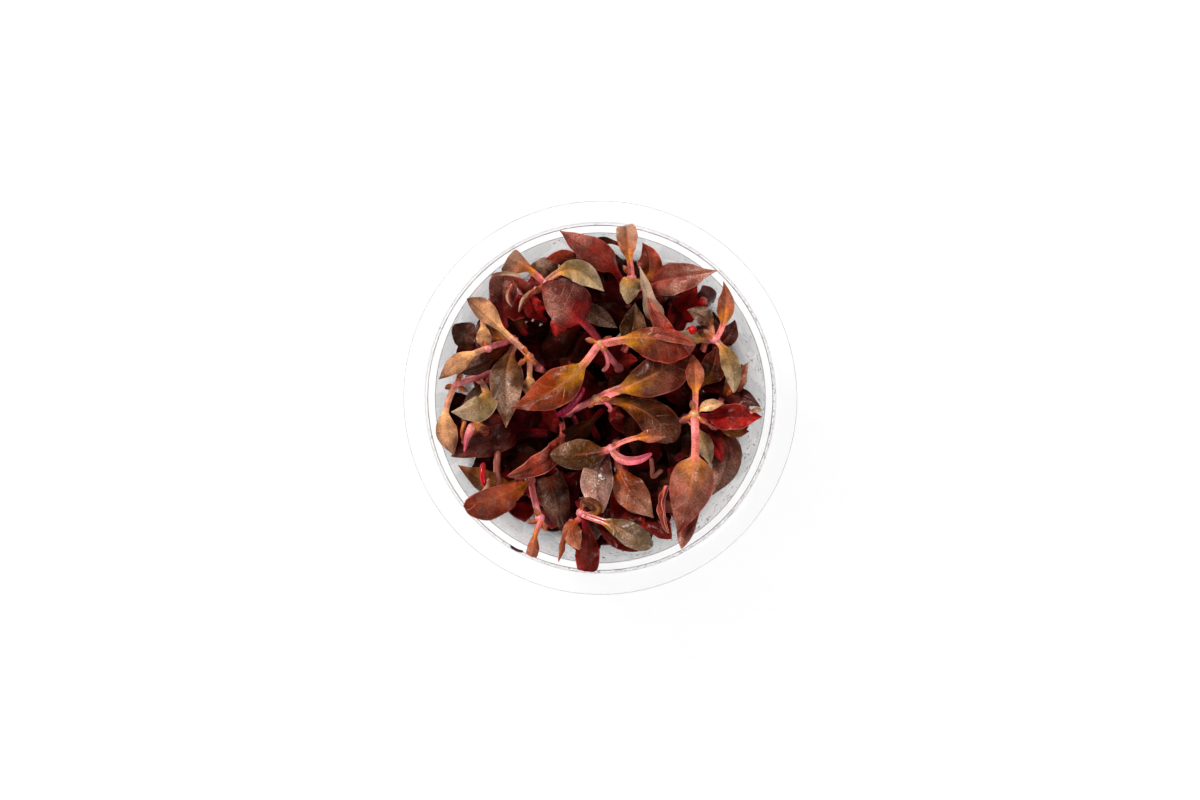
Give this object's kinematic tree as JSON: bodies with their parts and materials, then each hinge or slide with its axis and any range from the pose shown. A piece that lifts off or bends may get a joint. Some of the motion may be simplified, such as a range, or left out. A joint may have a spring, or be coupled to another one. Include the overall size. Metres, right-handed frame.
{
  "type": "aquarium plant",
  "caption": "Cluster of small red and copper leafed stems growing on gel in a clear round cup with a wide flat flange.",
  "frame": {"origin": "on the surface under the middle of the cup's foot", "axes": "+Z up out of the cup's mouth, +X to the right and +Y up in the picture, which looks straight down"},
  "size_m": [0.1, 0.1, 0.0569],
  "materials": {
    "clear_plastic": "gloss",
    "gel": "satin",
    "stem": "satin",
    "leaf_copper": "satin",
    "leaf_brown": "satin",
    "leaf_rose": "satin",
    "leaf_olive": "satin",
    "leaf_maroon": "satin",
    "leaf_coral": "satin",
    "leaf_tan": "satin",
    "leaf_orange": "satin",
    "leaf_grey_green": "satin",
    "leaf_mauve": "satin",
    "leaf_crimson": "satin",
    "leaf_brick": "satin"
  },
  "bodies": {
    "root": {"cup": "clear_plastic", "nutrient_gel": "gel", "stem_back_centre": "stem", "stem_centre": "stem", "stem_left_inner": "stem", "stem_back_left": "stem", "stem_left_outer": "stem", "stem_left_upper": "stem", "stem_right": "stem", "stem_right_back": "stem", "stem_front": "stem", "stem_front_centre": "stem", "stem_front_left": "stem", "stem_back": "stem", "leaf_copper_centre": "leaf_copper", "leaf_brown_upper": "leaf_brown", "leaf_rose_back": "leaf_rose", "leaf_brown_lower": "leaf_brown", "leaf_olive_right": "leaf_olive", "leaf_maroon_left": "leaf_maroon", "leaf_coral_ribbon": "leaf_coral", "leaf_tan_back_left": "leaf_tan", "leaf_tan_small": "leaf_tan", "leaf_orange_wall": "leaf_orange", "leaf_grey_green_back": "leaf_grey_green", "leaf_tan_middle": "leaf_tan", "leaf_tan_left_wall": "leaf_tan", "leaf_olive_left_small": "leaf_olive", "leaf_tan_left_tip": "leaf_tan", "leaf_purple_left": "leaf_mauve", "leaf_grey_green_left": "leaf_grey_green", "leaf_big_right": "leaf_rose", "leaf_coral_right": "leaf_coral", "leaf_cream_right": "leaf_tan", "leaf_crimson_right": "leaf_crimson", "leaf_mauve_right": "leaf_mauve", "leaf_olive_right_small": "leaf_olive", "leaf_copper_under_right": "leaf_copper", "leaf_copper_right_back": "leaf_copper", "leaf_tan_right": "leaf_tan", "leaf_silver_right_small": "leaf_tan", "leaf_folded_right_back": "leaf_brown", "leaf_crimson_back": "leaf_crimson", "leaf_silver_twisted": "leaf_tan", "leaf_brick_back_left": "leaf_brick", "leaf_orange_back": "leaf_orange", "leaf_tan_heart": "leaf_tan", "leaf_brick_back_right": "leaf_brick", "leaf_rose_back_right": "leaf_rose", "leaf_olive_front": "leaf_olive", "leaf_red_lobed": "leaf_brick", "leaf_olive_oval": "leaf_olive", "leaf_grey_brown_wet": "leaf_mauve", "leaf_amber_front": "leaf_orange", "leaf_brown_front": "leaf_brown", "leaf_dark_front_right": "leaf_crimson", "leaf_copper_front_left": "leaf_copper", "leaf_olive_wall_left": "leaf_olive", "leaf_dark_olive_front": "leaf_olive", "leaf_orange_front_left": "leaf_orange"}
  },
  "joints": []
}
